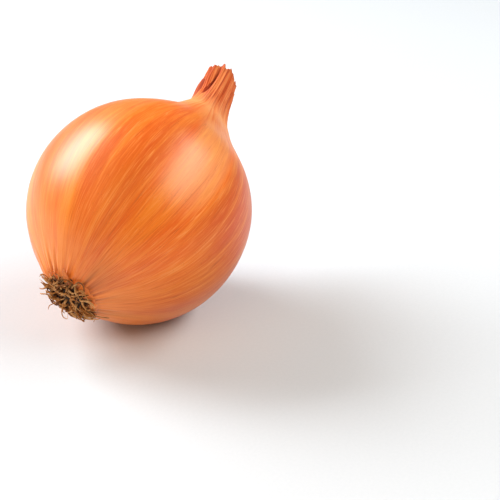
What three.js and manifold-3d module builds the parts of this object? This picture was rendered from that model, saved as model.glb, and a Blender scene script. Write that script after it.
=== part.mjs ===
// A globe onion lying on its side, as it comes to rest on a table: one bulb with its dry neck, and the
// tuft of dried roots that grows from its root end. Millimetres, +Z up. The origin is the middle of the
// small flat spot that the bulb rests on. The bulb's own axis lies over X, with the neck at +X.
import * as THREE from "three";
import { mergeVertices } from "three/addons/utils/BufferGeometryUtils.js";
import Module from "manifold-3d";

const wasm = await Module();
wasm.setup();

// Driving dimensions
const BULB_RADIUS = 40; // at the widest, half way along the bulb
const BULB_HALF_LENGTH = 41; // of the round body, without its neck and root end
const ROOT_END = 42.2; // from the bulb's middle to the flat of its root end
const ROOT_END_RADIUS = 8.8; // of that flat
const NECK_FOOT = 47.5; // from the bulb's middle to where the neck proper begins
const NECK_TIP = 66; // from the bulb's middle to the torn end of the neck
const NECK_RADIUS = 6.5; // at its waist
const NECK_BEND = 28; // from the bulb's middle to where the axis begins to bend
const NECK_ASIDE = 7.8; // how far the bent neck's tip stands off the bulb's axis
const NECK_ASIDE_TOWARDS = 125; // degrees round the axis, from the side turned down
const SPOT_RADIUS = 8; // of the flat spot that it rests on
const AXIS_ABOVE_TABLE = 22.5; // degrees that the bulb's axis rises towards the neck
const CROWN_THICKNESS = 1.5; // of the mat of root stubs on the root end
const CROWN_GAP = 0.3; // between that mat and the bulb
const ROOTS = 40;
const ROOT_THICKNESS = 0.9;

const RING_POINTS = 64; // round each ring of the bulb's surface
const degrees = THREE.MathUtils.degToRad;
const smooth = THREE.MathUtils.smoothstep;

/** Half of the bulb's section as points (distance from the axis, place along it), root end first. */
function bulbOutline() {
  const shoulder = degrees(34); // where the round body gives way to the taper of the root end
  const crown = degrees(150); // and to the hollow curve that runs up into the neck
  const onBody = (angle) =>
    new THREE.Vector2(BULB_RADIUS * Math.sin(angle), -BULB_HALF_LENGTH * Math.cos(angle));
  const alongBody = (angle, distance) =>
    onBody(angle).add(
      new THREE.Vector2(Math.cos(angle), Math.sin(angle)).multiplyScalar(distance),
    );
  const taper = new THREE.CubicBezierCurve(
    new THREE.Vector2(ROOT_END_RADIUS, -ROOT_END),
    new THREE.Vector2(ROOT_END_RADIUS + 3, -ROOT_END + 1.4),
    alongBody(shoulder, -5),
    onBody(shoulder),
  );
  const body = new THREE.EllipseCurve(
    0, 0, BULB_RADIUS, BULB_HALF_LENGTH, shoulder - Math.PI / 2, crown - Math.PI / 2,
  );
  const neckFoot = new THREE.Vector2(NECK_RADIUS + 3, NECK_FOOT);
  const rise = new THREE.CubicBezierCurve(
    onBody(crown),
    alongBody(crown, 7),
    new THREE.Vector2(neckFoot.x + 4, NECK_FOOT - 5),
    neckFoot,
  );
  const neck = new THREE.CubicBezierCurve(
    neckFoot,
    new THREE.Vector2(NECK_RADIUS + 0.6, NECK_FOOT + 4.5),
    new THREE.Vector2(NECK_RADIUS - 0.1, NECK_TIP - 7),
    new THREE.Vector2(NECK_RADIUS - 0.4, NECK_TIP),
  );
  const hollow = [
    new THREE.Vector2(NECK_RADIUS - 1.8, NECK_TIP - 0.6),
    new THREE.Vector2(NECK_RADIUS - 3.2, NECK_TIP - 3),
  ];
  return [
    ...taper.getPoints(5),
    ...body.getPoints(26).slice(1),
    ...rise.getPoints(9).slice(1),
    ...neck.getPoints(7).slice(1),
    ...hollow,
  ];
}

/** How far the bulb's axis is bent aside at a place along it. */
function lean(along) {
  const share = Math.max(0, (along - NECK_BEND) / (NECK_TIP - NECK_BEND));
  return NECK_ASIDE * share ** 1.3;
}

/** The bulb's surface point for a point of its outline, at an angle round the axis. */
function onBulb(point, angle) {
  const onNeck = smooth(point.y, NECK_FOOT - 5, NECK_TIP);
  const folds = 0.34 * Math.sin(7 * angle) + 0.26 * Math.sin(11 * angle + 1.3);
  const torn = 1.1 * Math.sin(3 * angle + 0.6) + 0.8 * Math.sin(5 * angle);
  const radius = point.x * (1 + 0.006 * Math.cos(2 * angle + 0.8)) + folds * onNeck;
  const aside = lean(point.y);
  const towards = degrees(NECK_ASIDE_TOWARDS);
  return new THREE.Vector3(
    radius * Math.cos(angle) + aside * Math.cos(towards),
    radius * Math.sin(angle) + aside * Math.sin(towards),
    point.y + torn * smooth(point.y, NECK_TIP - 5, NECK_TIP),
  );
}

/** Closed geometry over rings of points that all run the same way round, with a middle point at each end. */
function closeRings(rings, first, last) {
  const count = rings[0].length;
  const points = [first, ...rings.flat(), last];
  const faces = [];
  for (let i = 0; i < count; i++) {
    const j = (i + 1) % count;
    faces.push(0, 1 + j, 1 + i);
    for (let r = 0; r + 1 < rings.length; r++) {
      const low = 1 + r * count;
      const high = low + count;
      faces.push(low + i, low + j, high + j, low + i, high + j, high + i);
    }
    const top = 1 + (rings.length - 1) * count;
    faces.push(top + i, top + j, points.length - 1);
  }
  const geometry = new THREE.BufferGeometry().setFromPoints(points);
  geometry.setIndex(faces);
  return geometry;
}

function bulbGeometry() {
  const outline = bulbOutline();
  const rings = outline.map((point) =>
    Array.from({ length: RING_POINTS }, (_, i) => onBulb(point, (2 * Math.PI * i) / RING_POINTS)),
  );
  const middleOf = (point) => onBulb(new THREE.Vector2(0, point.y), 0);
  return closeRings(rings, middleOf(outline[0]), middleOf(outline[outline.length - 1]));
}

/** A closed three.js geometry as a manifold-3d solid. */
function toSolid(geometry) {
  const bare = geometry.clone();
  bare.deleteAttribute("normal");
  bare.deleteAttribute("uv");
  const merged = mergeVertices(bare, 1e-4);
  return new wasm.Manifold(
    new wasm.Mesh({
      numProp: 3,
      vertProperties: new Float32Array(merged.attributes.position.array),
      triVerts: new Uint32Array(merged.index.array),
    }),
  );
}

/** A manifold-3d solid as a three.js geometry. */
function toGeometry(solid) {
  const mesh = solid.getMesh();
  const geometry = new THREE.BufferGeometry();
  geometry.setAttribute("position", new THREE.BufferAttribute(mesh.vertProperties, 3));
  geometry.setIndex(new THREE.BufferAttribute(mesh.triVerts, 1));
  return geometry;
}

/** A repeatable number from 0 to 1 for each whole number and use. */
function scatter(index, use) {
  const value = Math.sin(index * 12.9898 + use * 78.233) * 43758.5453;
  return value - Math.floor(value);
}

/** The mat that the roots grow from: a low dome over the bulb's root end. */
function crownGeometry() {
  const inner = -ROOT_END - CROWN_GAP;
  const outline = [
    new THREE.Vector2(0, inner - CROWN_THICKNESS),
    new THREE.Vector2(ROOT_END_RADIUS * 0.5, inner - CROWN_THICKNESS * 0.9),
    new THREE.Vector2(ROOT_END_RADIUS * 0.85, inner - CROWN_THICKNESS * 0.6),
    new THREE.Vector2(ROOT_END_RADIUS, inner - CROWN_THICKNESS * 0.2),
    new THREE.Vector2(ROOT_END_RADIUS - 0.3, inner),
    new THREE.Vector2(0, inner),
  ];
  return new THREE.LatheGeometry(outline, 32).rotateX(Math.PI / 2);
}

/** One dried root: a thin stalk that leaves the crown, spreads outwards and curls at its end. */
function rootGeometry(index) {
  const angle = index * Math.PI * (3 - Math.sqrt(5));
  const out = ROOT_END_RADIUS * 0.88 * Math.sqrt((index + 0.5) / ROOTS);
  const length = 2 + 2.6 * scatter(index, 1) + 1.4 * (out / ROOT_END_RADIUS);
  const spread = 0.25 + 0.75 * (out / ROOT_END_RADIUS) + 0.5 * (scatter(index, 2) - 0.5);
  const curl = (scatter(index, 3) - 0.5) * 4;
  const path = [0, 0.3, 0.65, 1].map((t) => {
    const reach = out + spread * length * 0.6 * t;
    const turn = angle + (curl * t * t) / Math.max(reach, 3);
    const drop = length * (0.85 * t - 0.35 * spread * t * t);
    return new THREE.Vector3(
      reach * Math.cos(turn),
      reach * Math.sin(turn),
      -ROOT_END - CROWN_GAP - CROWN_THICKNESS * 0.4 - drop,
    );
  });
  const section = new THREE.Shape(
    Array.from({ length: 5 }, (_, i) => {
      const corner = (2 * Math.PI * i) / 5;
      const half = ROOT_THICKNESS / 2;
      return new THREE.Vector2(half * Math.cos(corner), half * Math.sin(corner));
    }),
  );
  return new THREE.ExtrudeGeometry(section, {
    steps: 5,
    extrudePath: new THREE.CatmullRomCurve3(path),
  });
}

/** The frame that both parts share: turned onto the bulb's side, with its flat spot at the origin. */
function lyingGroup() {
  const sine = Math.sin(degrees(AXIS_ABOVE_TABLE));
  const cosine = Math.cos(degrees(AXIS_ABOVE_TABLE));
  const lowest = Math.hypot(BULB_HALF_LENGTH * sine, BULB_RADIUS * cosine);
  const behindMiddle = ((BULB_HALF_LENGTH ** 2 - BULB_RADIUS ** 2) * sine * cosine) / lowest;
  const group = new THREE.Group();
  group.rotation.y = degrees(90 - AXIS_ABOVE_TABLE);
  group.position.set(behindMiddle, 0, Math.sqrt(lowest ** 2 - SPOT_RADIUS ** 2));
  group.updateMatrix();
  return group;
}

const lying = lyingGroup();

/** The table as a thick slab, in the lying group's frame: it takes the flat spot off the bulb. */
function tableSlab() {
  const side = 4 * BULB_RADIUS;
  const slab = new THREE.BoxGeometry(side, side, 20).translate(0, 0, -10);
  return slab.applyMatrix4(lying.matrix.clone().invert());
}

const skin = new THREE.MeshStandardMaterial({ color: 0xd9752e, roughness: 0.42, metalness: 0 });
const driedRoot = new THREE.MeshStandardMaterial({ color: 0xa07a48, roughness: 0.9, metalness: 0 });

const bulb = new THREE.Mesh(toGeometry(toSolid(bulbGeometry()).subtract(toSolid(tableSlab()))), skin);
bulb.name = "bulb";

const tuft = Array.from({ length: ROOTS }, (_, i) => toSolid(rootGeometry(i))).reduce(
  (whole, root) => whole.add(root),
  toSolid(crownGeometry()),
);
const rootTuft = new THREE.Mesh(toGeometry(tuft), driedRoot);
rootTuft.name = "root_tuft";

lying.add(bulb, rootTuft);
const onion = new THREE.Group();
onion.add(lying);
export default onion;
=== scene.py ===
import math

import bpy
import numpy as np
from mathutils import Matrix, Vector


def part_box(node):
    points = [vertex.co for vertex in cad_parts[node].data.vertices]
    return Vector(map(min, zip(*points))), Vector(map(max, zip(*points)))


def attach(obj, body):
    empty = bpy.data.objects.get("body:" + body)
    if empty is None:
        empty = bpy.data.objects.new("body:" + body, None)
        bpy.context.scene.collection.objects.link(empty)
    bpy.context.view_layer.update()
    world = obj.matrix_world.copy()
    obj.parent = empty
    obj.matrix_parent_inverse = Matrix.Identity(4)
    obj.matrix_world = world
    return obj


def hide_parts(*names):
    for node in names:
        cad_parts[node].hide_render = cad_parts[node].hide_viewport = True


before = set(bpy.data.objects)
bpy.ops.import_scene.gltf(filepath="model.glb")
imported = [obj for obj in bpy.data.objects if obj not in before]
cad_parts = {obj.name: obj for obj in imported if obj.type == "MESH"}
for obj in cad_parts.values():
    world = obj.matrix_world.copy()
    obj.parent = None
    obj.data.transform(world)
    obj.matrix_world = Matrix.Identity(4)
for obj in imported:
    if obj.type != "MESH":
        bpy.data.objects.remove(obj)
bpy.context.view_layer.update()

# --------------------------------------------------------------------------------------------------
# The bulb. A globe onion, cured until its outermost layer dried to one thin papery skin, which runs
# from the root end over the round body and up into the neck. It grew as one piece, so nothing fixes
# it. Local sizes are in millimetres: the bulb's axis is z, and angles go round it from its underside.
# --------------------------------------------------------------------------------------------------
MM = 0.001
lowest_corner, highest_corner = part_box("bulb")
BULB_RADIUS = (highest_corner.y - lowest_corner.y) / 2 / MM
HALF_LENGTH = 1.025 * BULB_RADIUS
ROOT_END = 1.055 * BULB_RADIUS  # from the bulb's middle to the flat of its root end
ROOT_END_RADIUS = 0.22 * BULB_RADIUS
NECK_FOOT = 1.19 * BULB_RADIUS
NECK_TIP = 1.655 * BULB_RADIUS
NECK_RADIUS = 0.165 * BULB_RADIUS
NECK_BEND = 0.7 * BULB_RADIUS  # where the axis begins to bend
NECK_ASIDE = 0.2 * BULB_RADIUS  # how far the bent neck's tip stands off the axis
NECK_ASIDE_TOWARDS = math.radians(125)
SOFT_SHOULDER = math.radians(218)  # the side where the body runs into the neck most softly
AXIS_RISE = math.radians(22.5)  # of the bulb's axis above the table, towards the neck
NECK_WALL = 0.4  # between the neck's outside and its torn hollow
SLOPE_STEP = 0.5  # the length over which the outline's slope is taken

# The body is an ellipsoid that lies tilted. Its lowest point is under the frame's origin, where the
# table flattens it, and its highest point is as high as the bulb.
support = math.hypot(HALF_LENGTH * math.sin(AXIS_RISE), BULB_RADIUS * math.cos(AXIS_RISE))
middle = np.array([
    (HALF_LENGTH**2 - BULB_RADIUS**2) * math.sin(AXIS_RISE) * math.cos(AXIS_RISE) / support,
    0,
    highest_corner.z / MM - support,
])
local_axes = np.array([
    [math.sin(AXIS_RISE), 0, -math.cos(AXIS_RISE)],
    [0, 1, 0],
    [math.cos(AXIS_RISE), 0, math.sin(AXIS_RISE)],
])


def to_frame(points):
    """Local points in millimetres as points of the shared frame in metres, none below the table."""
    placed = (points @ local_axes + middle) * MM
    placed[..., 2] = np.maximum(placed[..., 2], 0)
    return placed


def bezier(a, b, c, d, count):
    """Points along a curve from a to d that leaves towards b and arrives from c."""
    t = np.linspace(0, 1, count)[:, None]
    a, b, c, d = (np.array(p, float) for p in (a, b, c, d))
    return (1 - t) ** 3 * a + 3 * (1 - t) ** 2 * t * b + 3 * (1 - t) * t**2 * c + t**3 * d


def on_body(angle):
    """A point of the body's section, as radius and along, at an angle from the root end."""
    return np.array([BULB_RADIUS * math.sin(angle), -HALF_LENGTH * math.cos(angle)])


def along_body(angle, distance):
    """A point so far off that one, along the body's tangent."""
    return on_body(angle) + distance * np.array([math.cos(angle), math.sin(angle)])


def bulb_outline():
    """Half of the bulb's section, from the edge of its root end to its neck's tip: (radius, along)."""
    shoulder, crown = math.radians(34), math.radians(150)
    foot_radius = NECK_RADIUS + 3
    taper = bezier(
        (ROOT_END_RADIUS, -ROOT_END), (ROOT_END_RADIUS + 3, -ROOT_END + 1.4),
        along_body(shoulder, -5), on_body(shoulder), 200,
    )
    body = np.array([on_body(angle) for angle in np.linspace(shoulder, crown, 600)])
    rise = bezier(
        on_body(crown), along_body(crown, 7),
        (foot_radius + 4, NECK_FOOT - 5), (foot_radius, NECK_FOOT), 200,
    )
    neck = bezier(
        (foot_radius, NECK_FOOT), (NECK_RADIUS + 0.6, NECK_FOOT + 4.5),
        (NECK_RADIUS - 0.1, NECK_TIP - 7), (NECK_RADIUS - 0.4, NECK_TIP), 200,
    )
    return np.vstack([taper, body[1:], rise[1:], neck[1:]])


outline_points = bulb_outline()
outline_steps = np.hypot(*np.diff(outline_points, axis=0).T)
outline_lengths = np.concatenate([[0], np.cumsum(outline_steps)])
SKIN_LENGTH = outline_lengths[-1]  # along the skin, from the root end's edge to the neck's tip
NECK_START = SKIN_LENGTH - (NECK_TIP - NECK_FOOT) - 12  # where the ribs of the neck begin to rise


def smooth(value, start, end):
    """A soft step from 0 at the start to 1 at the end."""
    t = np.clip((value - start) / (end - start), 0, 1)
    return t * t * (3 - 2 * t)


def degrees_off(angle, degrees):
    """How many degrees an angle in radians lies past another in degrees, from -180 to 180."""
    return (np.degrees(angle) - degrees + 180) % 360 - 180


def creases(angle, counts, depths, seed):
    """Round ridges with sharp valleys between them, so many round the bulb, each set so deep."""
    phases = np.random.default_rng(seed).uniform(0, math.tau, len(counts))
    ridges = (
        depth * (np.abs(np.sin(count * angle / 2 + phase)) - 0.64)
        for count, depth, phase in zip(counts, depths, phases)
    )
    return sum(ridges)


def waves(angle, counts, heights, seed):
    """Soft waves round the bulb, so many to a turn, each so high."""
    phases = np.random.default_rng(seed).uniform(0, math.tau, len(counts))
    return sum(h * np.cos(n * angle + p) for n, h, p in zip(counts, heights, phases))


def twist(length):
    """How far round the neck its fibres turn on their way up, in radians."""
    return 0.2 * smooth(length, SKIN_LENGTH - 20, SKIN_LENGTH + 2)


# Blunt ridges along the bulb, where the edge of a scale shows through: degrees, height, half width.
RIDGES = ((182, 0.18, 16), (262, 0.2, 18), (335, 0.3, 13), (22, 0.24, 15), (98, 0.26, 14))


def groove(twisted, length):
    """The deep crease of the neck, beside the edge of the sheath that is wrapped over it."""
    deepest, reach, half_width = 1.5, 13, 8
    way_up = np.clip((length - SKIN_LENGTH + reach) / reach, 0, 1)
    across = np.exp(-(degrees_off(twisted, 162 + 17 * way_up) / half_width) ** 2)
    begins = smooth(length, SKIN_LENGTH - reach - 2, SKIN_LENGTH - reach + 2)
    shallower = 1 - 0.75 * smooth(way_up, 0.35, 0.95)
    return -deepest * across * (begins * shallower)


def relief(angle, length):
    """How far the skin stands out from its plain outline, in millimetres."""
    wandering = angle + 0.02 * np.sin(0.09 * length + 3 * angle) + 0.012 * np.sin(0.21 * length)
    at_root = 1 - smooth(length, 0, 17)
    on_neck = smooth(length, NECK_START, SKIN_LENGTH - 8)
    near_neck = smooth(length, NECK_START - 10, NECK_START + 12)
    twisted = wandering - twist(length)
    body = waves(wandering, (2, 5, 9, 13), (0.2, 0.12, 0.06, 0.04), 3)
    over_body = smooth(length, 14, 44) * (1 - smooth(length, NECK_START - 30, NECK_START))
    for degrees, height, half_width in RIDGES:
        off = np.sqrt((degrees_off(wandering, degrees) / half_width) ** 2 + 0.004)
        body = body + height * np.clip(1 - off, 0, 1) ** 2 * over_body
    # The folds round the roots are deepest on the side that dried first.
    dried_first = 0.5 + 0.9 * (0.5 + 0.5 * np.cos(angle - math.radians(140))) ** 2
    root_folds = creases(wandering, (26, 37, 55), (0.34, 0.26, 0.17), 5) * at_root**1.4 * dried_first
    fine_folds = creases(twisted, (34, 47, 61), (0.07, 0.06, 0.05), 8) * near_neck
    neck_folds = creases(twisted, (9, 16, 27), (0.36, 0.26, 0.2), 21) * on_neck
    soft_side = (0.5 + 0.5 * np.cos(angle - SOFT_SHOULDER)) ** 4
    fillet = 2.2 * np.exp(-((length - NECK_START - 1) / 7) ** 2) * soft_side
    folds = root_folds + fine_folds + neck_folds
    return body * (1 - on_neck) + folds + fillet + groove(twisted, length)


def torn_edge(angle, teeth):
    """How far a torn edge stands above its mean. Each tooth is degrees, height and half width."""
    edge = waves(angle, (19, 31, 47, 71), (0.1, 0.08, 0.06, 0.03), 40)
    for degrees, height, half_width in teeth:
        edge = edge + height * np.exp(-(degrees_off(angle, degrees) / half_width) ** 2)
    return edge


NECK_TEETH = (
    (140, -1.2, 16), (176, 0.5, 10), (195, 2.4, 10), (225, 2.0, 11), (240, 0.5, 5),
    (256, -0.4, 6), (270, 0.5, 7), (300, 0.8, 12), (335, 0.8, 12), (10, 2.0, 9),
    (48, 1.2, 12), (85, 0.4, 10), (112, 0.8, 9),
)


def skin_at(angle, length, lift=0.0):
    """Local points of the skin at an angle round the axis and a length along it, lifted off it."""
    radius = np.interp(length, outline_lengths, outline_points[:, 0])
    along = np.interp(length, outline_lengths, outline_points[:, 1])
    radius_rate = (np.interp(length + SLOPE_STEP, outline_lengths, outline_points[:, 0])
                   - np.interp(length - SLOPE_STEP, outline_lengths, outline_points[:, 0]))
    along_rate = (np.interp(length + SLOPE_STEP, outline_lengths, outline_points[:, 1])
                  - np.interp(length - SLOPE_STEP, outline_lengths, outline_points[:, 1]))
    rate = np.hypot(radius_rate, along_rate) + 1e-9
    out = lift + relief(angle, length)
    # The neck's tip is a little flattened, as dry leaf bases are.
    flattened = 1 + 0.07 * np.cos(2 * (angle - 0.6)) * smooth(length, SKIN_LENGTH - 14, SKIN_LENGTH)
    radius = radius * flattened + out * along_rate / rate
    along = along - out * radius_rate / rate
    bend = np.clip((along - NECK_BEND) / (NECK_TIP - NECK_BEND), 0, None) ** 1.3 * NECK_ASIDE
    return np.stack([
        radius * np.cos(angle) + bend * math.cos(NECK_ASIDE_TOWARDS),
        radius * np.sin(angle) + bend * math.sin(NECK_ASIDE_TOWARDS),
        along,
    ], axis=-1)


def raised(points, heights):
    """The points moved along the bent neck's own direction at its tip."""
    slope = 1.3 * NECK_ASIDE / (NECK_TIP - NECK_BEND)
    way = np.array([slope * math.cos(NECK_ASIDE_TOWARDS), slope * math.sin(NECK_ASIDE_TOWARDS), 1])
    return points + heights[..., None] * way


def add_mesh(name, points, faces, material, attributes):
    """A smooth mesh of the shared frame, with its named float or vector attributes."""
    mesh = bpy.data.meshes.new(name)
    mesh.from_pydata(points.tolist(), [], faces)
    for label, values in attributes.items():
        values = np.asarray(values, np.float32)
        kind, field = ("FLOAT", "value") if values.ndim == 1 else ("FLOAT_VECTOR", "vector")
        mesh.attributes.new(label, kind, "POINT").data.foreach_set(field, values.ravel())
    mesh.polygons.foreach_set("use_smooth", [True] * len(mesh.polygons))
    mesh.materials.append(material)
    mesh.update()
    piece = bpy.data.objects.new(name, mesh)
    bpy.context.scene.collection.objects.link(piece)
    return piece


def grain_of(angle, length):
    """Where the skin's fibres read their pattern: its unrolled surface, closed round the bulb."""
    turned = angle - twist(length)
    return np.stack([BULB_RADIUS * np.cos(turned), BULB_RADIUS * np.sin(turned), length], axis=-1)


def srgb(code):
    """An sRGB hex colour as linear red, green, blue and alpha."""
    parts = [int(code[i:i + 2], 16) / 255 for i in (1, 3, 5)]
    return [p / 12.92 if p <= 0.04045 else ((p + 0.055) / 1.055) ** 2.4 for p in parts] + [1]


def add_node(tree, kind, inputs=None, **settings):
    """Adds a node, with its properties, and its inputs set to a value or linked to an output."""
    node = tree.nodes.new(kind)
    for label, value in settings.items():
        setattr(node, label, value)
    for label, value in (inputs or {}).items():
        if isinstance(value, bpy.types.NodeSocket):
            tree.links.new(value, node.inputs[label])
        else:
            node.inputs[label].default_value = value
    return node


def new_material(name):
    """An empty node material, and its node tree."""
    material = bpy.data.materials.new(name)
    material.use_nodes = True
    material.node_tree.nodes.clear()
    return material, material.node_tree


def cured_skin():
    """Cured onion skin: one dried scale leaf, thin, papery and satin, with fibres along the bulb.
    It gives the eye fine short streaks in a glowing orange, and a soft broken gloss."""
    material, tree = new_material("cured onion skin, air dried")
    grain = add_node(tree, "ShaderNodeAttribute", attribute_name="grain").outputs["Vector"]
    height = add_node(tree, "ShaderNodeAttribute", attribute_name="relief").outputs["Fac"]
    layers_and_painted_light = add_node(tree, "ShaderNodeAttribute", attribute_name="layers_and_painted_light").outputs["Fac"]
    length = add_node(tree, "ShaderNodeSeparateXYZ", {"Vector": grain}).outputs["Z"]

    def streaks(per_millimetre, slenderness, detail, start=(0, 0, 0)):
        """Noise stretched along the bulb: so many streaks to a millimetre, so many times as long."""
        place = add_node(tree, "ShaderNodeMapping", {
            "Vector": grain, "Location": start, "Scale": (1, 1, 1 / slenderness),
        }).outputs["Vector"]
        return add_node(tree, "ShaderNodeTexNoise", {
            "Vector": place, "Scale": per_millimetre, "Detail": detail, "Roughness": 0.55,
        }).outputs["Fac"]

    def share_of(value, low, high, most=1.0):
        """0 where the value is low, and the most where it is high."""
        return add_node(tree, "ShaderNodeMapRange", {
            "Value": value, "From Min": low, "From Max": high, "To Min": 0.0, "To Max": most,
        }).outputs[0]

    def tint(colour, towards, *shares):
        """The colour, moved towards another by the product of the shares."""
        factor = shares[0]
        for other in shares[1:]:
            factor = add_node(
                tree, "ShaderNodeMath", {0: factor, 1: other}, operation="MULTIPLY",
            ).outputs[0]
        return add_node(
            tree, "ShaderNodeMix", {0: factor, 6: colour, 7: srgb(towards)}, data_type="RGBA",
        ).outputs[2]

    def lines_in(field, half_width, most):
        """Thin lines along the bulb, where a noise crosses its middle."""
        off = add_node(tree, "ShaderNodeMath", {0: field, 1: 0.5}, operation="SUBTRACT").outputs[0]
        distance = add_node(tree, "ShaderNodeMath", {0: off}, operation="ABSOLUTE").outputs[0]
        return share_of(distance, half_width, 0.0, most)

    # Fibres are 0.2 mm apart in a dried scale. They are drawn 0.4 mm apart, so that they show.
    fibres = streaks(2.4, 18, 2.0)
    bundles = streaks(0.6, 24, 3.0, (11, 5, 2))
    strips = streaks(0.2, 16, 2.0, (8, 21, 4))
    # Bands 10 to 25 mm wide, where the skin is thicker and redder or thinner and more golden.
    bands = streaks(0.07, 5, 2.0, (3, 40, 9))
    ground = add_node(tree, "ShaderNodeValToRGB", {"Fac": bands})
    ramp = ground.color_ramp
    ramp.elements[0].position, ramp.elements[0].color = 0.32, srgb("#E25A02")
    ramp.elements[1].position, ramp.elements[1].color = 0.68, srgb("#F4881A")
    ramp.elements.new(0.5).color = srgb("#EC7004")

    # Veins run about 4 mm apart, and between them paler threads, 1.5 mm apart, where the skin is thin.
    veins = lines_in(streaks(0.26, 26, 1.0, (31, 7, 3)), 0.01, 0.4)
    threads = lines_in(streaks(0.7, 34, 1.0, (2, 13, 9)), 0.02, 0.34)

    # The skin is browner where two dry skins lie on each other, and paler where it is thin. The same
    # mask also carries painted shade, browner, on the right side, the bottom and the band between the
    # two highlights, and painted highlight, paler, under both highlights.
    colour = tint(ground.outputs["Color"], "#BE5A10", share_of(layers_and_painted_light, 0.0, 1.0, 0.4))
    colour = tint(colour, "#C44602", share_of(layers_and_painted_light, 1.0, 2.0, 0.65))
    colour = tint(colour, "#FAB068", share_of(layers_and_painted_light, 0.0, -1.0, 0.5))
    # Strips, bundles and fibres each have a paler and a redder side.
    colour = tint(colour, "#F48E22", share_of(strips, 0.5, 0.68, 0.2))
    colour = tint(colour, "#DC5202", share_of(strips, 0.5, 0.32, 0.2))
    colour = tint(colour, "#F89C34", share_of(bundles, 0.5, 0.72, 0.34))
    colour = tint(colour, "#D04C04", share_of(bundles, 0.5, 0.28, 0.3))
    colour = tint(colour, "#FCB05C", share_of(fibres, 0.5, 0.75, 0.3))
    colour = tint(colour, "#C04806", share_of(fibres, 0.5, 0.25, 0.24))
    colour = tint(colour, "#FBB468", threads, share_of(bundles, 0.4, 0.6, 1.0))
    colour = tint(colour, "#A84006", veins, share_of(bundles, 0.62, 0.4, 1.0))
    # A few faint brown specks, 0.3 mm across.
    specks = streaks(2.0, 1.6, 1.0, (4, 9, 27))
    colour = tint(colour, "#A04608", share_of(specks, 0.66, 0.76, 0.25))

    # Towards the roots the skin is paler and browner, and its folds hold dust; the brown right at the
    # root end is partly stain and partly painted shade under the roots.
    near_root = share_of(length, 30.0, 8.0)
    colour = tint(colour, "#F49848", near_root, share_of(fibres, 0.25, 0.65, 0.75))
    colour = tint(colour, "#8E3F12", share_of(length, 4.0, 0.0, 0.5))
    # Up the neck the skin is paler at first, then redder, with short dark streaks 2 to 3 mm apart.
    at_foot = share_of(length, NECK_START - 14, NECK_START + 8)
    colour = tint(colour, "#F3A868", at_foot, share_of(bundles, 0.25, 0.6, 0.85))
    on_neck = share_of(length, SKIN_LENGTH - 21, SKIN_LENGTH - 12)
    neck_streaks = streaks(0.36, 5.5, 3.0, (5, 17, 0))
    colour = tint(colour, "#C44F0A", on_neck, share_of(neck_streaks, 0.75, 0.45, 0.95))
    colour = tint(colour, "#902E02", on_neck, share_of(neck_streaks, 0.46, 0.34, 0.75))
    colour = tint(colour, "#EE9248", on_neck, share_of(neck_streaks, 0.56, 0.7, 0.6))
    colour = tint(colour, "#A24A1C", share_of(length, SKIN_LENGTH - 2.5, SKIN_LENGTH, 0.4))
    # The valleys of the folds are darker, at both ends: at the root end partly from dust and partly as
    # painted shade, and on the neck as painted shade.
    at_ends = share_of(length, 20.0, 4.0)
    colour = tint(colour, "#7A3410", at_ends, share_of(height, -0.04, -0.4, 0.7))
    # Painted shade in the neck's crease, inside its hollow, between the rolls of its sheaths and on
    # their backs.
    colour = tint(colour, "#962C00", on_neck, share_of(height, -0.3, -1.1, 0.95))

    # Fibres and bundles stand out by less than 0.2 mm; the folds and ridges are in the mesh.
    bump_height = add_node(
        tree, "ShaderNodeMix", {0: 0.5, 2: fibres, 3: bundles}, data_type="FLOAT"
    ).outputs[0]
    bump = add_node(tree, "ShaderNodeBump", {
        "Height": bump_height, "Strength": 0.35, "Distance": 0.00018,
    }).outputs["Normal"]
    roughness = add_node(tree, "ShaderNodeMapRange", {
        "Value": length, "From Min": NECK_START, "From Max": SKIN_LENGTH - 12,
        "To Min": 0.38, "To Max": 0.8,
    }).outputs[0]
    shader = add_node(tree, "ShaderNodeBsdfPrincipled", {
        "Base Color": colour, "Roughness": roughness, "Normal": bump, "IOR": 1.5,
    }).outputs["BSDF"]
    add_node(tree, "ShaderNodeOutputMaterial", {"Surface": shader})
    return material


def ring_faces(rows, columns):
    """Quads over rows of points that run round the axis, from the first row to the last."""
    return [
        (r * columns + c, r * columns + (c + 1) % columns,
         (r + 1) * columns + (c + 1) % columns, (r + 1) * columns + c)
        for r in range(rows - 1) for c in range(columns)
    ]


def layers_and_painted_light_at(angle, length):
    """How thick and brown the skin is drawn: 0 for one dry layer, 1 for two, up to 3 where it is
    thickest, and -1 where it is thin. Part of it is painted light: painted shade on the right side,
    on the bottom and in the band between the two highlights, and painted highlight on the pale parts."""
    wandering = angle + 0.03 * np.sin(0.07 * length)
    past_edge = degrees_off(wandering, 182)
    under_edge = smooth(past_edge, -1.2, 1.8)

    def below_neck(start, end):
        """1 on the body, 0 on the neck, with lengths below the neck's start where it changes."""
        return 1 - smooth(length, NECK_START - start, NECK_START - end)

    # A second dry layer right of the 182 degree edge, which also paints shade on the darker band between
    # the two highlights.
    second_layer_and_painted_shade = under_edge * (1 - smooth(past_edge, 24, 38)) * smooth(length, 18, 46) * below_neck(36, 12)
    # Paler where the skin is thin, which also paints the right softbox's highlight.
    thin = smooth(past_edge, 26, 38) * (1 - smooth(past_edge, 56, 66))
    thin = thin * smooth(length, 42, 62) * below_neck(14, 0)
    # Paler left of the edge: partly thinner skin, partly painted highlight where the left softbox's
    # highlight falls.
    thinner_and_painted_highlight = 0.4 * (1 - under_edge) * smooth(past_edge, -85, -50)
    # Painted shade: much browner on the right side of the body.
    painted_right_shade = smooth(past_edge, 58, 70) * (1 - smooth(past_edge, 105, 135))
    painted_right_shade = painted_right_shade * smooth(length, 34, 60) * below_neck(24, 12)
    # Painted shade: browner towards the bottom.
    underside = smooth(np.cos(angle), -0.5, 0.6) * below_neck(20, 0)
    return second_layer_and_painted_shade - thin - thinner_and_painted_highlight + 2 * painted_right_shade + 1.2 * underside * (1 - painted_right_shade)


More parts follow.
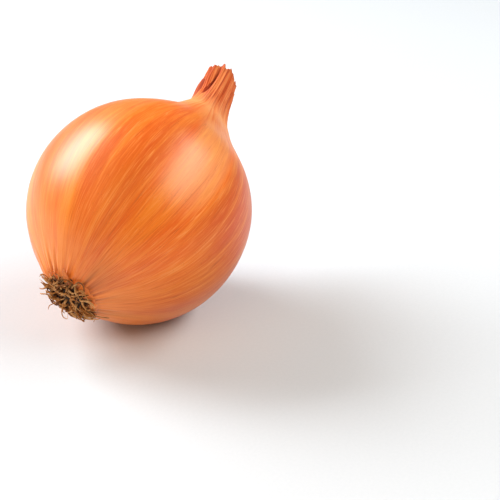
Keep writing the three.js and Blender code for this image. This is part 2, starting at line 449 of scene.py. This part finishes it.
def make_bulb():
    """The skin from the root end to the torn tip, and down again inside the neck: one closed mesh."""
    columns = 400
    angles = np.linspace(0, math.tau, columns, endpoint=False)
    # The rows lie closer together at both ends, where the skin is folded.
    lengths = np.concatenate([
        np.linspace(0, 16, 40, endpoint=False),
        np.linspace(16, NECK_START, 85, endpoint=False),
        np.linspace(NECK_START, SKIN_LENGTH, 100),
    ])
    torn_length = 7.0  # over which the teeth of the torn edge draw the skin out
    hollow_depth, hollow_rows, hollow_painted_shade = 9.0, 12, -0.7
    sunk_rows, sunk_depth = 5, 1.2
    angle_grid, length_grid = np.meshgrid(angles, lengths)
    torn = torn_edge(angles, NECK_TEETH)
    outside = skin_at(angle_grid, length_grid)
    outside = raised(outside, torn * smooth(length_grid, SKIN_LENGTH - torn_length, SKIN_LENGTH))

    # Inside the torn neck the wall goes down again, and closes at the bottom of the hollow.
    down = np.linspace(0, 1, hollow_rows)
    inner_angles, inner_down = np.meshgrid(angles, down)
    inner_lengths = SKIN_LENGTH - hollow_depth * inner_down
    inside = skin_at(inner_angles, inner_lengths, -NECK_WALL)
    inside = raised(inside, torn * smooth(inner_lengths, SKIN_LENGTH - torn_length, SKIN_LENGTH))
    centre = inside[-1].mean(axis=0)

    # Under the root plate the skin folds in, a little sunk.
    inward = np.linspace(0.85, 0.15, sunk_rows)
    root_edge = outside[0]
    root_centre = np.array([0, 0, -ROOT_END + sunk_depth])
    sunk = np.stack([root_centre + (root_edge - root_centre) * share for share in inward])

    grid = np.concatenate([sunk[::-1], outside, inside]).reshape(-1, 3)
    all_lengths = np.concatenate([np.zeros((sunk_rows, columns)), length_grid, inner_lengths])
    all_angles = np.concatenate([np.tile(angles, (sunk_rows, 1)), angle_grid, inner_angles])
    depth = relief(all_angles, all_lengths)
    # The hollow inside the neck is given a low relief, which paints shade there.
    depth[sunk_rows + len(lengths):] = hollow_painted_shade
    total_rows = len(all_lengths)
    faces = ring_faces(total_rows, columns)
    first, last = len(grid), len(grid) + 1
    top = (total_rows - 1) * columns
    faces += [(first, (c + 1) % columns, c) for c in range(columns)]
    faces += [(last, top + c, top + (c + 1) % columns) for c in range(columns)]
    points = np.vstack([grid, root_centre, centre])
    grain = grain_of(all_angles, all_lengths).reshape(-1, 3)
    return add_mesh("bulb_skin", to_frame(points), faces, skin_material, {
        "grain": np.vstack([grain, [[0, 0, 0], [0, 0, SKIN_LENGTH]]]),
        "relief": np.append(depth.ravel(), [0, hollow_painted_shade]),
        "layers_and_painted_light": np.append(layers_and_painted_light_at(all_angles, all_lengths).ravel(), [0, 0]),
    })


skin_material = cured_skin()
bulb = make_bulb()
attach(bulb, "root")
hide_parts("bulb")

# --------------------------------------------------------------------------------------------------
# The torn sheaths of the neck. They are the dry bases of the outer leaves, thin as paper, which
# overlap round the neck and roll up inside it. Their upper edges are torn where the leaves came off.
# --------------------------------------------------------------------------------------------------
LEAF_THICKNESS = 0.3  # drawn thicker than the real 0.1 mm, so that the torn edges show
BACK_DEEPER = 0.5  # how much deeper in a fold the back of a sheet is taken to lie, which gives it painted shade


def shell_faces(rows, columns):
    """Faces of a thin closed sheet: a front grid, a back grid and the edge between them."""
    def at(side, r, c):
        return side * rows * columns + r * columns + c

    faces = []
    for r in range(rows - 1):
        for c in range(columns - 1):
            front = (at(0, r, c), at(0, r, c + 1), at(0, r + 1, c + 1), at(0, r + 1, c))
            back = (at(1, r, c), at(1, r + 1, c), at(1, r + 1, c + 1), at(1, r, c + 1))
            faces += [front, back]
    border = [(0, c) for c in range(columns)]
    border += [(r, columns - 1) for r in range(1, rows)]
    border += [(rows - 1, c) for c in range(columns - 2, -1, -1)]
    border += [(r, 0) for r in range(rows - 2, 0, -1)]
    for (r, c), (r2, c2) in zip(border, border[1:] + border[:1]):
        faces.append((at(0, r2, c2), at(0, r, c), at(1, r, c), at(1, r2, c2)))
    return faces


def add_sheet(name, front, back, grain, depth):
    """A thin closed sheet of skin, from grids of points on its front and its back."""
    rows, columns = depth.shape
    points = np.concatenate([front.reshape(-1, 3), back.reshape(-1, 3)])
    sheet = add_mesh(name, to_frame(points), shell_faces(rows, columns), skin_material, {
        "grain": np.tile(grain.reshape(-1, 3), (2, 1)),
        "relief": np.concatenate([depth.ravel(), depth.ravel() - BACK_DEEPER]),
        "layers_and_painted_light": np.zeros(2 * rows * columns),
    })
    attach(sheet, "root")


def make_sheath(name, start, end, slant, foot, top, lift, rolls, darker, teeth):
    """A sheath over part of the neck, between two of its fibres, given in degrees at the neck's foot.
    The slant is how many degrees it turns further than the fibres on its way up, and the foot and the
    top are lengths below the neck's tip. It lies on the neck in one or more soft rolls, and its lift
    is the height of a roll at the top. It bridges the neck's deep crease. A darker one is given more
    painted shade, as if it lay deeper in the folds."""
    columns, rows = 90, 44
    across, up = np.meshgrid(np.linspace(0, 1, columns), np.linspace(0, 1, rows))
    length = SKIN_LENGTH - foot + (foot - top) * up
    wobble = 0.05 * np.sin(7 * up + start) * np.abs(2 * across - 1)
    angle = np.radians(start + (end - start) * across + slant * up) + wobble + twist(length)
    # More than one roll lie closer together towards the sheath's start.
    crowding = 0.8 if rolls > 1 else 1
    roll = 0.3 + 0.7 * np.abs(np.sin(math.pi * rolls * across**crowding))
    crease = groove(angle - twist(length), length)
    tucked = 0.35  # how deep the sheath's foot is tucked into the neck
    height = -tucked + (lift + tucked) * smooth(up, 0, 0.8) * roll - 0.9 * crease
    height = height + 0.06 * waves(angle, (17, 29, 41), (1, 1, 0.8), 6) * up
    torn = torn_edge(angle, teeth) * smooth(up, 0.6, 1)
    front = raised(skin_at(angle, length, height), torn)
    back = raised(skin_at(angle, length, height - LEAF_THICKNESS), torn)
    # The relief sets painted shade: lower in the valleys between rolls, and lower still for a darker
    # sheath.
    depth = (relief(angle, length) - crease) * 0.5 - 0.25 + 0.45 * roll
    add_sheet(name, front, back, grain_of(angle, length), depth - darker)


make_sheath("neck_sheath_wrapped", 104, 156, 17, 14, 0.3, 1.3, 2, 0, ((146, 0.5, 12),))
make_sheath("neck_sheath_side", 40, 118, 6, 13, 4.0, 1.2, 1, 0.2, ((125, 0.6, 14), (80, 0.9, 10)))
make_sheath(
    "neck_sheath_far", 256, 378, -4, 14, 4.2, 0.6, 3, 0, ((285, 0.5, 9), (330, 1.2, 10), (15, 0.8, 12))
)
make_sheath("neck_flap", 106, 138, 10, 18, 6.8, 1.35, 1, 0.8, ((134, 0.8, 12),))


def make_rolled_leaf():
    """The inner dry leaves, rolled up loosely inside the neck: one sheet wound two and a half turns."""
    columns, rows = 240, 24
    turns = 2.6
    across, up = np.meshgrid(np.linspace(0, 1, columns), np.linspace(0, 1, rows))
    angle = math.tau * turns * across + 0.8
    inset = 1.0 + 3.9 * across + 0.25 * waves(angle, (3, 5, 8), (1, 0.8, 0.5), 31)
    length = SKIN_LENGTH - 8.5 + 7.8 * up
    # The teeth differ from turn to turn, so that the turns don't look like copies.
    torn = creases(angle * 0.77 + 2 * across, (5, 8, 13), (0.9, 0.7, 0.5), 17) - 0.5
    torn = torn * smooth(up, 0.5, 1)
    front = raised(skin_at(angle, length, -inset), torn)
    back = raised(skin_at(angle, length, -inset - LEAF_THICKNESS), torn)
    # Its relief falls towards the bottom of the hollow, which paints shade deeper inside the neck.
    add_sheet("neck_inner_leaf", front, back, grain_of(angle, length), 0.1 - 0.9 * (1 - up))


make_rolled_leaf()

# --------------------------------------------------------------------------------------------------
# The root plate. It is the short flattened stem that the scales and the roots grow from, dried to a
# rough cork. Its near-black colour is partly its own and partly painted shade between the roots. It
# sits in the ring of skin at the root end.
# --------------------------------------------------------------------------------------------------
PLATE_RADIUS = ROOT_END_RADIUS - 0.4
PLATE_HEIGHT = 1.3


def corky_plate():
    """Root plate: dried stem tissue, as rough as cork. Its near-black is partly its own brown and partly
    painted shade, which gives the eye dark gaps between roots.
    """
    material, tree = new_material("root plate, dried to cork")
    place = add_node(tree, "ShaderNodeTexCoord").outputs["Object"]
    # Cork grit, 0.7 mm across.
    grit = add_node(tree, "ShaderNodeTexNoise", {"Vector": place, "Scale": 1400.0, "Detail": 5.0})
    # Near-black brown: partly the plate's own colour, partly painted shade between the roots.
    ground = add_node(tree, "ShaderNodeValToRGB", {"Fac": grit.outputs["Fac"]})
    ramp = ground.color_ramp
    ramp.elements[0].position, ramp.elements[0].color = 0.35, srgb("#160B05")
    ramp.elements[1].position, ramp.elements[1].color = 0.7, srgb("#4E321A")
    bump = add_node(tree, "ShaderNodeBump", {
        "Height": grit.outputs["Fac"], "Strength": 0.8, "Distance": 0.0005,
    })
    shader = add_node(tree, "ShaderNodeBsdfPrincipled", {
        "Base Color": ground.outputs["Color"], "Roughness": 0.95, "Normal": bump.outputs["Normal"],
    })
    add_node(tree, "ShaderNodeOutputMaterial", {"Surface": shader.outputs["BSDF"]})
    return material


def make_plate():
    """A low lumpy dome, closed underneath by a flat cone that the bulb's skin hides."""
    columns, rows = 96, 24
    angle, share = np.meshgrid(
        np.linspace(0, math.tau, columns, endpoint=False), np.linspace(0.02, 1, rows)
    )
    lumps = (waves(angle, (5, 9, 14), (0.2, 0.15, 0.12), 2) * share
             + 0.18 * np.sin(9 * share + 3 * np.cos(angle)))
    radius = PLATE_RADIUS * share + 0.2 * waves(angle, (7, 11), (1, 1), 6) * share
    along = -ROOT_END - (PLATE_HEIGHT + lumps) * np.sqrt(np.clip(1 - share**2, 0, 1)) + 0.2
    front = np.stack([radius * np.cos(angle), radius * np.sin(angle), along], axis=-1)
    points = np.vstack([front.reshape(-1, 3), [[0, 0, along[0].mean()], [0, 0, -ROOT_END + 1]]])
    top = (rows - 1) * columns
    faces = ring_faces(rows, columns)
    faces += [(rows * columns, (c + 1) % columns, c) for c in range(columns)]
    faces += [(rows * columns + 1, top + c, top + (c + 1) % columns) for c in range(columns)]
    return add_mesh("root_plate", to_frame(points), faces, corky_plate(), {})


plate = make_plate()
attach(plate, "root")

# --------------------------------------------------------------------------------------------------
# The torn skin round the root plate. It is the same dry skin as the bulb's, which tore to a ragged
# ring and small pointed flakes as the roots dried and shrank.
# --------------------------------------------------------------------------------------------------


def on_root_end(reach, angle, height):
    """Local points over the root end: so far from the axis, measured along the plate and then the
    skin, at an angle round the axis, and so high off the surface."""
    beyond = np.maximum(reach - ROOT_END_RADIUS, 0)
    radius = np.interp(beyond, outline_lengths, outline_points[:, 0])
    along = np.interp(beyond, outline_lengths, outline_points[:, 1])
    radius_rate = np.interp(beyond + SLOPE_STEP, outline_lengths, outline_points[:, 0]) - radius
    along_rate = np.interp(beyond + SLOPE_STEP, outline_lengths, outline_points[:, 1]) - along
    lean = np.arctan2(along_rate, radius_rate) * smooth(reach, ROOT_END_RADIUS - 2, ROOT_END_RADIUS + 2)
    radius = np.where(reach < ROOT_END_RADIUS, reach, radius) + height * np.sin(lean)
    along = along - height * np.cos(lean)
    return np.stack([radius * np.cos(angle), radius * np.sin(angle), along], axis=-1)


def make_collar():
    """The ragged ring of skin that laps over the root plate's edge, with teeth that point inwards."""
    columns, rows = 420, 16
    across, inward = np.meshgrid(np.linspace(0, 1, columns), np.linspace(0, 1, rows))
    angle = math.tau * across
    teeth = creases(angle, (11, 19, 31, 53), (-0.7, -0.6, -0.5, -0.35), 12)
    reach = ROOT_END_RADIUS + 4.0 - (5.0 + teeth) * inward
    ripples = 0.3 * waves(angle, (9, 16, 27), (1, 0.9, 0.7), 4) * inward**2
    height = -0.25 + 0.75 * smooth(inward, 0, 0.9) + ripples
    length = np.maximum(reach - ROOT_END_RADIUS, 0)
    height = height + relief(angle, length) * (1 - inward)
    front = on_root_end(reach, angle, height)
    back = on_root_end(reach, angle, height - 0.2)
    # Seen from outside, a sheet whose rows run inwards has its columns the other way round.
    flip = (slice(None), slice(None, None, -1))
    # The relief falls inwards, so the ring darkens towards the plate: partly dust, partly painted shade
    # under the roots.
    add_sheet("root_collar", front[flip], back[flip], grain_of(angle, length + 3)[flip],
              (0.3 - 0.7 * inward + 0.2 * teeth)[flip])


def make_flake(name, degrees, reach, length, width, lift, browner):
    """A small pointed flake of skin that starts under the roots and stands off towards its tip. Its
    reach, length, width and lift are in millimetres; a browner one goes from 0 to 1."""
    columns, rows = 9, 16
    across, along = np.meshgrid(np.linspace(-1, 1, columns), np.linspace(0, 1, rows))
    half = width / 2 * (1 - 0.9 * along**1.6) * (1 + 0.12 * np.sin(11 * along + degrees))
    outward = reach + length * along
    angle = math.radians(degrees) + (half * across + 0.5 * np.sin(2.5 * along)) / outward
    cupped = 0.3 * across**2 * (1 - along)
    height = 0.35 + lift * along**1.5 - cupped + 0.12 * np.sin(3 * across + 5 * along)
    front = on_root_end(outward, angle, height)
    back = on_root_end(outward, angle, height - 0.15)
    skin_length = 12 - 11 * browner + 3 * along
    add_sheet(name, front, back, grain_of(angle, skin_length), 0.25 - 0.5 * browner + 0.1 * across)


make_collar()
# Each flake is degrees, reach, length, width, lift and how much browner it is than the skin.
FLAKES = (
    (190, 7.0, 7.4, 4.0, 2.2, 0.75), (166, 8.0, 3.2, 2.6, 1.4, 0.2), (150, 8.2, 3.0, 2.0, 1.0, 0.5),
    (207, 8.0, 3.0, 2.2, 1.3, 0.3), (236, 8.4, 2.6, 1.8, 0.8, 0.6), (265, 8.0, 3.4, 2.4, 1.0, 0.4),
    (300, 8.2, 3.0, 2.0, 1.0, 0.8), (345, 8.2, 2.8, 2.2, 0.6, 0.5), (28, 8.0, 3.2, 2.4, 0.9, 0.9),
    (70, 8.2, 3.0, 1.8, 1.1, 0.4), (112, 8.0, 3.4, 2.2, 1.2, 0.7),
)
for number, flake in enumerate(FLAKES, 1):
    make_flake(f"root_flake_{number}", *flake)

# --------------------------------------------------------------------------------------------------
# The dried roots. They are the bulb's own roots, trimmed short and dried to a mat of stiff curly
# threads 0.5 to 1 mm wide at the foot and a third of that at the tip. They grow out of the root plate
# and lie across it and over its edge.
# --------------------------------------------------------------------------------------------------
MAT_ROOTS = 135
FRINGE_ROOTS = 26
MAT_HEIGHT = 3.3  # of the mat over the root plate
MAT_EDGE = 9.8  # as far from the axis as the mat's roots go
ROOT_STEP = 0.4  # between two points of a root's way
ROOT_SIDES = 7
root_numbers = np.random.default_rng(77)


def dried_root():
    """Dried onion root: a hollow fibre, shrunken along its length. It gives the eye straw and tan
    threads, with brown ones among them, and dark ones deep in the mat, darkened by dust and painted
    shade."""
    material, tree = new_material("onion root, dried")
    tone = add_node(tree, "ShaderNodeAttribute", attribute_name="tone").outputs["Fac"]
    depth = add_node(tree, "ShaderNodeAttribute", attribute_name="depth").outputs["Fac"]
    place = add_node(tree, "ShaderNodeTexCoord").outputs["Object"]
    ground = add_node(tree, "ShaderNodeValToRGB", {"Fac": tone})
    ramp = ground.color_ramp
    ramp.elements[0].position, ramp.elements[0].color = 0.0, srgb("#5C300C")
    ramp.elements[1].position, ramp.elements[1].color = 1.0, srgb("#F0BC7C")
    ramp.elements.new(0.5).color = srgb("#B4722E")
    # Brown blotches along each root, 0.7 mm across.
    speckle = add_node(tree, "ShaderNodeTexNoise", {
        "Vector": place, "Scale": 1500.0, "Detail": 3.0,
    }).outputs["Fac"]
    dark = add_node(tree, "ShaderNodeMapRange", {
        "Value": speckle, "From Min": 0.35, "From Max": 0.65, "To Min": 0.42, "To Max": 0.0,
    }).outputs[0]
    colour = add_node(tree, "ShaderNodeMix", {
        0: dark, 6: ground.outputs["Color"], 7: srgb("#4E260C"),
    }, data_type="RGBA").outputs[2]
    # Darker deeper in the mat: partly dust, partly painted shade.
    deep_dust_and_painted_shade = add_node(tree, "ShaderNodeMapRange", {
        "Value": depth, "From Min": 0.58, "From Max": 0.2, "To Min": 0.0, "To Max": 0.94,
    }).outputs[0]
    colour = add_node(tree, "ShaderNodeMix", {
        0: deep_dust_and_painted_shade, 6: colour, 7: srgb("#1E0F06"),
    }, data_type="RGBA").outputs[2]
    bump = add_node(tree, "ShaderNodeBump", {
        "Height": speckle, "Strength": 0.5, "Distance": 0.0002,
    }).outputs["Normal"]
    shader = add_node(tree, "ShaderNodeBsdfPrincipled", {
        "Base Color": colour, "Roughness": 0.7, "Normal": bump, "Specular IOR Level": 0.25,
    }).outputs["BSDF"]
    add_node(tree, "ShaderNodeOutputMaterial", {"Surface": shader})
    return material


def tube(path, radii, flatness, sides):
    """Points and faces of a closed tube along a path, with a radius for each point. Its section is an
    oval that is flatness times as thick as it is wide."""
    tangents = np.gradient(path, axis=0)
    tangents /= np.linalg.norm(tangents, axis=1)[:, None]
    across = np.cross(tangents[0], (0.3, 0.5, 0.8))
    rings = []
    for tangent, centre, radius in zip(tangents, path, radii):
        across = across - tangent * (across @ tangent)
        across /= np.linalg.norm(across)
        other = np.cross(tangent, across)
        corners = np.linspace(0, math.tau, sides, endpoint=False)[:, None]
        rings.append(centre + radius * (np.cos(corners) * across + flatness * np.sin(corners) * other))
    count = len(path)
    points = np.vstack([*rings, path[:1], path[-1:]])
    faces = ring_faces(count, sides)
    faces += [(count * sides, (c + 1) % sides, c) for c in range(sides)]
    top = (count - 1) * sides
    faces += [(count * sides + 1, top + c, top + (c + 1) % sides) for c in range(sides)]
    return points, faces


def mat_root(fringe):
    """One root's way, in rows of x, y and height over the root end: up off the plate, then across it
    in a loose curve. A fringe root starts near the plate's edge and goes out over it."""
    reach = PLATE_RADIUS * math.sqrt(root_numbers.uniform(0.6 if fringe else 0.0, 1))
    around = root_numbers.uniform(0, math.tau)
    spot = reach * np.array([math.cos(around), math.sin(around)])
    heading = around + root_numbers.normal(0, 0.3 if fringe else 0.95)
    bend = root_numbers.normal(0, 0.1 if fringe else 0.13)
    top = root_numbers.uniform(0.3, 1.0) * MAT_HEIGHT * (1 - 0.3 * (reach / PLATE_RADIUS) ** 2)
    top = 0.45 * top if fringe else top
    length = root_numbers.uniform(2.6, 4.6) if fringe else root_numbers.uniform(3.5, 9.0)
    phase = root_numbers.uniform(0, math.tau)
    end_lift = root_numbers.normal(0.2, 0.9)
    rows = []
    for gone in np.arange(0, length, ROOT_STEP):
        height = top * smooth(gone, 0, 1.8) + 0.3 * math.sin(0.9 * gone + phase)
        height = height + end_lift * (gone / length) ** 2
        rows.append([*spot, max(height, 0.3 * min(gone, 1))])
        bend = np.clip(bend + root_numbers.normal(0, 0.07), -0.6, 0.6)
        heading += bend * ROOT_STEP
        # A root of the mat turns aside where it would stray too far from the plate.
        outward = (heading - math.atan2(spot[1], spot[0]) + math.pi) % math.tau - math.pi
        if not fringe and np.hypot(*spot) > MAT_EDGE and abs(outward) < 1.6:
            heading += 0.3 * math.copysign(1, outward)
        stride = ROOT_STEP * (0.45 + 0.55 * smooth(gone, 0, 1.5))
        spot = spot + stride * np.array([math.cos(heading), math.sin(heading)])
    return np.array(rows)


def rounded(points, times=3):
    """A smooth curve through the middles of a chain of points, by cutting its corners."""
    for _ in range(times):
        near, far = points[:-1], points[1:]
        cut = np.stack([0.75 * near + 0.25 * far, 0.25 * near + 0.75 * far], axis=1)
        points = np.vstack([points[:1], cut.reshape(-1, points.shape[1]), points[-1:]])
    return points


# The longest roots, which loop and hook past the mat's edge: rows of reach, degrees and height.
LONG_ROOTS = (
    ((6.5, 265, 0.8), (8.6, 232, 2.0), (9.6, 219, 1.6), (11.6, 216, 0.9), (12.4, 224, 0.8),
     (11.4, 234, 0.9), (8.6, 246, 1.6)),
    ((6.0, 160, 1.0), (8.2, 146, 2.2), (9.6, 141, 2.6), (11.2, 133, 2.8)),
    ((4.0, 60, 2.0), (6.2, 78, 3.4), (6.6, 108, 3.9), (8.4, 98, 4.2), (11.4, 78, 4.0)),
    ((3.6, 66, 2.4), (6.0, 64, 4.2), (7.2, 66, 5.2), (9.0, 54, 5.4)),
    ((4.4, 40, 1.6), (6.6, 30, 3.6), (9.0, 22, 4.4), (9.0, 10, 4.2), (6.8, 8, 3.4)),
    ((6.2, 12, 1.0), (9.4, 8, 2.2), (12.2, 6, 2.6), (12.8, 356, 2.4), (10.6, 346, 2.0), (8.0, 340, 1.4)),
    ((6.6, 298, 0.8), (9.6, 304, 1.5), (12.6, 309, 1.3), (16.0, 310, 1.0)),
    ((7.0, 150, 1.6), (8.0, 170, 3.0), (9.6, 186, 2.2), (10.8, 178, 1.2), (10.2, 166, 1.0)),
    ((6.8, 320, 1.2), (9.6, 318, 2.4), (11.8, 312, 2.2), (13.4, 318, 1.2)),
)


def make_roots():
    """All roots as one mesh. The tone of each is random, and the depth is its height in the mat."""
    paths = [mat_root(fringe=False) for _ in range(MAT_ROOTS)]
    paths += [mat_root(fringe=True) for _ in range(FRINGE_ROOTS)]
    for rows in LONG_ROOTS:
        reach, degrees, height = np.array(rows).T
        angle = np.radians(degrees)
        paths.append(rounded(np.stack([reach * np.cos(angle), reach * np.sin(angle), height], axis=1)))
    points, faces, tones, depths = [], [], [], []
    count = 0
    for number, rows in enumerate(paths):
        past_edge = number >= MAT_ROOTS
        across, aside, height = rows.T
        path = on_root_end(np.hypot(across, aside), np.arctan2(aside, across), height)
        thick = root_numbers.uniform(0.24, 0.34) if past_edge else root_numbers.uniform(0.26, 0.52)
        t = np.linspace(0, 1, len(path))
        radii = thick * (1 - 0.7 * t**1.6) * (1 + 0.12 * np.sin(21 * t + number))
        flatness = root_numbers.uniform(0.4, 1.0)
        tube_points, tube_faces = tube(path, radii, flatness, ROOT_SIDES)
        points.append(tube_points)
        faces += [tuple(v + count for v in face) for face in tube_faces]
        count += len(tube_points)
        tone = root_numbers.uniform(0.5 if past_edge else 0.0, 1.0)
        tones.append(np.full(len(tube_points), tone))
        depth = np.repeat(height / MAT_HEIGHT, ROOT_SIDES)
        depths.append(np.concatenate([depth, depth[[0, -1]]]))
    return add_mesh("dried_roots", to_frame(np.vstack(points)), faces, dried_root(), {
        "tone": np.concatenate(tones), "depth": np.concatenate(depths),
    })


roots = make_roots()
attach(roots, "root")
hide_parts("root_tuft")

# --------------------------------------------------------------------------------------------------
# The stage: pale background paper to lie on, three soft lights and the camera. The lights are large
# softboxes: one above at the left, a long one above at the right, and a weak warm one in front.
# --------------------------------------------------------------------------------------------------


def pale_paper():
    """Background paper: uncoated and matte, so that it gives the eye an even, nearly white ground."""
    material, tree = new_material("background paper, matte")
    place = add_node(tree, "ShaderNodeTexCoord").outputs["Object"]
    # Faint clouds of pulp, 1 mm across.
    pulp = add_node(tree, "ShaderNodeTexNoise", {"Vector": place, "Scale": 900.0, "Detail": 2.0})
    colour = add_node(tree, "ShaderNodeMix", {
        0: pulp.outputs["Fac"], 6: srgb("#CDD4DA"), 7: srgb("#D3D9DF"),
    }, data_type="RGBA").outputs[2]
    shader = add_node(tree, "ShaderNodeBsdfPrincipled", {
        "Base Color": colour, "Roughness": 0.9,
    }).outputs["BSDF"]
    add_node(tree, "ShaderNodeOutputMaterial", {"Surface": shader})
    return material


def make_floor():
    mesh = bpy.data.meshes.new("floor")
    reach = 3.0
    corners = [(-reach, -reach, 0), (reach, -reach, 0), (reach, reach, 0), (-reach, reach, 0)]
    mesh.from_pydata(corners, [], [(0, 1, 2, 3)])
    mesh.materials.append(pale_paper())
    floor = bpy.data.objects.new("floor", mesh)
    bpy.context.scene.collection.objects.link(floor)
    return floor


make_floor()

CAMERA_AZIMUTH = math.radians(-54.4)  # 0 looks along +Y
CAMERA_RISE = math.radians(29)
CAMERA_DISTANCE = 0.499
LENS = 100
BULB_ASIDE = 0.2202  # how far the bulb's middle is left of the frame's, as a share of its width
BULB_ABOVE = 0.0776  # and how far above it
bulb_middle = Vector(middle * MM)
looking = Vector((
    -math.sin(CAMERA_AZIMUTH) * math.cos(CAMERA_RISE),
    math.cos(CAMERA_AZIMUTH) * math.cos(CAMERA_RISE),
    -math.sin(CAMERA_RISE),
))
rightward = Vector((math.cos(CAMERA_AZIMUTH), math.sin(CAMERA_AZIMUTH), 0))
upward = rightward.cross(looking)


def add_camera():
    """A camera without roll that looks past the bulb, whose middle is up and left in the frame."""
    data = bpy.data.cameras.new("camera")
    data.lens = LENS
    camera = bpy.data.objects.new("camera", data)
    bpy.context.scene.collection.objects.link(camera)
    field = data.sensor_width / LENS
    ray = looking - BULB_ASIDE * field * rightward + BULB_ABOVE * field * upward
    place = bulb_middle - ray.normalized() * CAMERA_DISTANCE
    camera.location = place
    camera.rotation_euler = looking.to_track_quat("-Z", "Y").to_euler()
    bpy.context.scene.camera = camera


def from_camera(right, up, towards):
    """A direction given to the right, upwards and towards the camera."""
    return (rightward * right + upward * up - looking * towards).normalized()


def add_softbox(name, stands, long_side, distance, width, length, radiance, colour):
    """A softbox that faces the bulb. It stands in one direction from it and its long side lies in
    another, both as right, up and towards the camera. Distance, width and length are in metres, and
    radiance is in watts per square metre and steradian."""
    data = bpy.data.lights.new(name, "AREA")
    data.shape, data.size, data.size_y = "RECTANGLE", width, length
    data.energy = radiance * math.pi * width * length
    data.color = srgb(colour)[:3]
    light = bpy.data.objects.new(name, data)
    bpy.context.scene.collection.objects.link(light)
    back = from_camera(*stands)
    side = from_camera(*long_side)
    side = (side - back * side.dot(back)).normalized()
    light.rotation_euler = Matrix((side.cross(back), side, back)).transposed().to_euler()
    light.location = bulb_middle + back * distance


add_camera()
add_softbox("key_softbox", (-0.69, 0.69, -0.06), (0.75, 0.91, -0.34), 0.75, 0.34, 0.52, 15.6, "#FFFFFF")
add_softbox("fill_softbox", (0.72, 0.58, 0.36), (0.30, 0.65, -0.70), 0.85, 0.25, 1.05, 8.2, "#FFFDF8")
add_softbox("front_softbox", (-0.42, 0.08, 0.9), (1, 0, 0), 1.0, 0.9, 0.9, 1.6, "#FFCA90")
# A dim even light from all round, as from a white room.
world = bpy.data.worlds.new("studio")
world.use_nodes = True
world.node_tree.nodes["Background"].inputs["Color"].default_value = srgb("#FFFFFF")
world.node_tree.nodes["Background"].inputs["Strength"].default_value = 0.2
bpy.context.scene.world = world
bpy.context.scene.view_settings.view_transform = "Standard"
